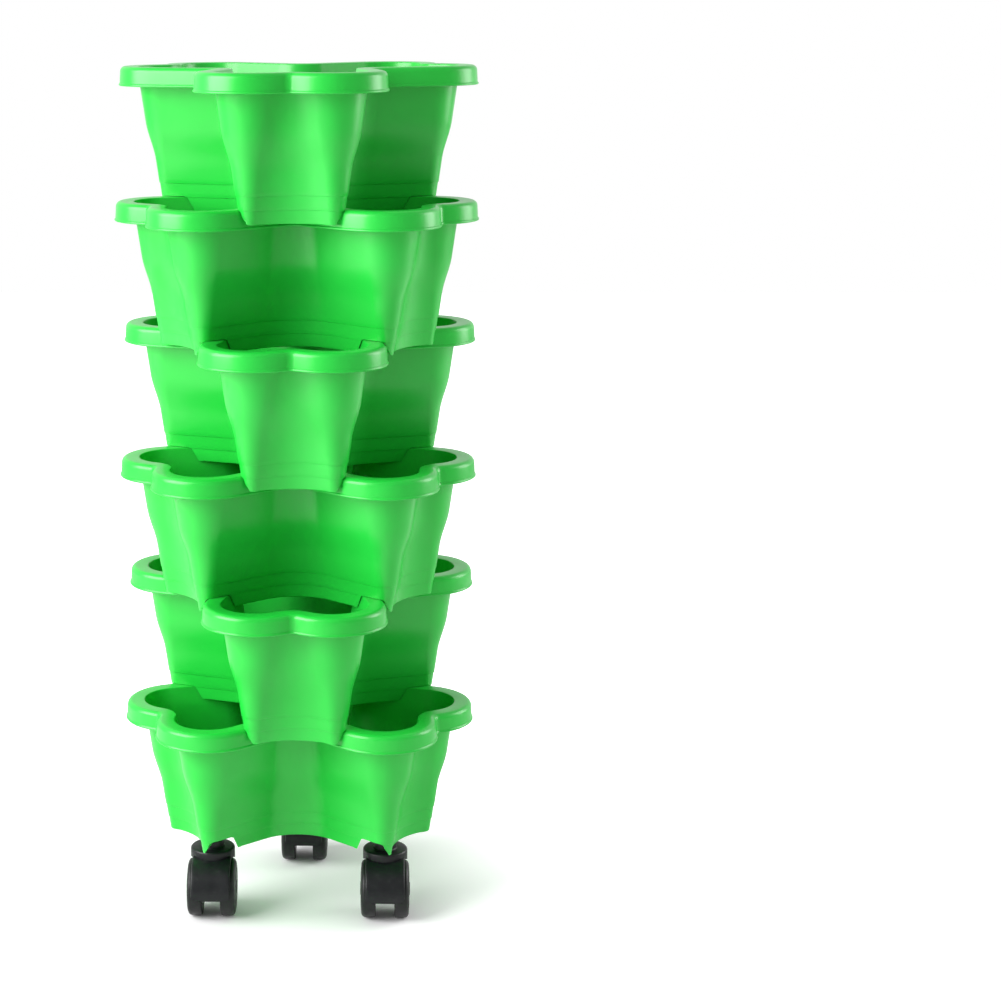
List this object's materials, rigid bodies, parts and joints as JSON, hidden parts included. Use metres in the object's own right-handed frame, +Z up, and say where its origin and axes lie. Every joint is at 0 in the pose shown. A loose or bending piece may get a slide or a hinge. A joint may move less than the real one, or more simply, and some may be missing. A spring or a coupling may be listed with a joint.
{
  "type": "vertical planter tower",
  "caption": "Free-standing tower of stacked lobed planting pots, each turned half a lobe from the one below so that the lobe ends stay open, on swivelling twin-wheel casters.",
  "frame": {"origin": "on the floor, at the centre of the tower, under its vertical axis", "axes": "+Z up along the tower, -Y towards the viewer of the picture, +X to that viewer's right"},
  "size_m": [0.3398, 0.3354, 0.8179],
  "materials": {
    "pot_plastic": "bright green injection-moulded plastic, glossy",
    "caster_plastic": "black moulded plastic, semi-gloss",
    "steel": "zinc-plated steel"
  },
  "bodies": {
    "base": {"pot_tier_1": "pot_plastic", "caster_1_stem": "steel", "caster_1_grip_ring": "steel", "caster_2_stem": "steel", "caster_2_grip_ring": "steel", "caster_3_stem": "steel", "caster_3_grip_ring": "steel"},
    "tier_2": {"pot_tier_2": "pot_plastic"},
    "tier_3": {"pot_tier_3": "pot_plastic"},
    "tier_4": {"pot_tier_4": "pot_plastic"},
    "tier_5": {"pot_tier_5": "pot_plastic"},
    "tier_6": {"pot_tier_6": "pot_plastic"},
    "caster_1_fork": {"caster_1_hood": "caster_plastic", "caster_1_axle": "steel"},
    "caster_1_left_wheel": {"caster_1_wheel_left": "caster_plastic"},
    "caster_1_right_wheel": {"caster_1_wheel_right": "caster_plastic"},
    "caster_2_fork": {"caster_2_hood": "caster_plastic", "caster_2_axle": "steel"},
    "caster_2_left_wheel": {"caster_2_wheel_left": "caster_plastic"},
    "caster_2_right_wheel": {"caster_2_wheel_right": "caster_plastic"},
    "caster_3_fork": {"caster_3_hood": "caster_plastic", "caster_3_axle": "steel"},
    "caster_3_left_wheel": {"caster_3_wheel_left": "caster_plastic"},
    "caster_3_right_wheel": {"caster_3_wheel_right": "caster_plastic"}
  },
  "joints": [
    {"name": "tier_2_lift", "type": "slide", "parent": "base", "child": "tier_2", "axis": [0, 0, 1], "range_m": [0, 0.15]},
    {"name": "tier_3_lift", "type": "slide", "parent": "tier_2", "child": "tier_3", "axis": [0, 0, 1], "range_m": [0, 0.15]},
    {"name": "tier_4_lift", "type": "slide", "parent": "tier_3", "child": "tier_4", "axis": [0, 0, 1], "range_m": [0, 0.15]},
    {"name": "tier_5_lift", "type": "slide", "parent": "tier_4", "child": "tier_5", "axis": [0, 0, 1], "range_m": [0, 0.15]},
    {"name": "tier_6_lift", "type": "slide", "parent": "tier_5", "child": "tier_6", "axis": [0, 0, 1], "range_m": [0, 0.15]},
    {"name": "caster_1_swivel", "type": "hinge", "parent": "base", "child": "caster_1_fork", "pos_m": [-0.08487, -0.049, 0.066], "axis": [0, 0, 1], "continuous": true},
    {"name": "caster_1_left_wheel_spin", "type": "hinge", "parent": "caster_1_fork", "child": "caster_1_left_wheel", "pos_m": [-0.08487, -0.062, 0.028], "axis": [1, 0, 0], "continuous": true},
    {"name": "caster_1_right_wheel_spin", "type": "hinge", "parent": "caster_1_fork", "child": "caster_1_right_wheel", "pos_m": [-0.08487, -0.062, 0.028], "axis": [1, 0, 0], "continuous": true},
    {"name": "caster_2_swivel", "type": "hinge", "parent": "base", "child": "caster_2_fork", "pos_m": [0.08487, -0.049, 0.066], "axis": [0, 0, 1], "continuous": true},
    {"name": "caster_2_left_wheel_spin", "type": "hinge", "parent": "caster_2_fork", "child": "caster_2_left_wheel", "pos_m": [0.08487, -0.062, 0.028], "axis": [1, 0, 0], "continuous": true},
    {"name": "caster_2_right_wheel_spin", "type": "hinge", "parent": "caster_2_fork", "child": "caster_2_right_wheel", "pos_m": [0.08487, -0.062, 0.028], "axis": [1, 0, 0], "continuous": true},
    {"name": "caster_3_swivel", "type": "hinge", "parent": "base", "child": "caster_3_fork", "pos_m": [0, 0.098, 0.066], "axis": [0, 0, 1], "continuous": true},
    {"name": "caster_3_left_wheel_spin", "type": "hinge", "parent": "caster_3_fork", "child": "caster_3_left_wheel", "pos_m": [0, 0.085, 0.028], "axis": [1, 0, 0], "continuous": true},
    {"name": "caster_3_right_wheel_spin", "type": "hinge", "parent": "caster_3_fork", "child": "caster_3_right_wheel", "pos_m": [0, 0.085, 0.028], "axis": [1, 0, 0], "continuous": true}
  ]
}
